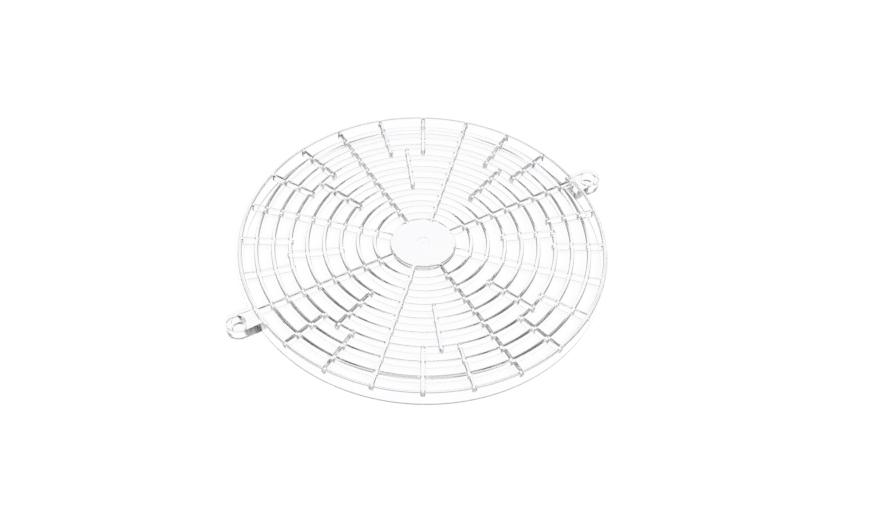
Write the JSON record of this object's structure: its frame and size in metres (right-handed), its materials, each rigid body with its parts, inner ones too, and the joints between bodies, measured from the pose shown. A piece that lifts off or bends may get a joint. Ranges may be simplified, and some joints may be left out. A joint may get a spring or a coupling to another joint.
{
  "type": "fan grille",
  "caption": "Round clear plastic finger guard for an axial fan: a skirted rim, concentric rings on radial ribs, a hub disc and screw ears.",
  "frame": {"origin": "centre of the rim in the mounting plane, which holds the bottom of the skirt and of both ears", "axes": "+Z out of the front face along the fan's axis, +X from the centre through the screw hole of one ear"},
  "size_m": [0.1718, 0.148, 0.0076],
  "materials": {
    "clear_plastic": "clear, polished"
  },
  "bodies": {
    "root": {"fan_grille": "clear_plastic"}
  },
  "joints": []
}
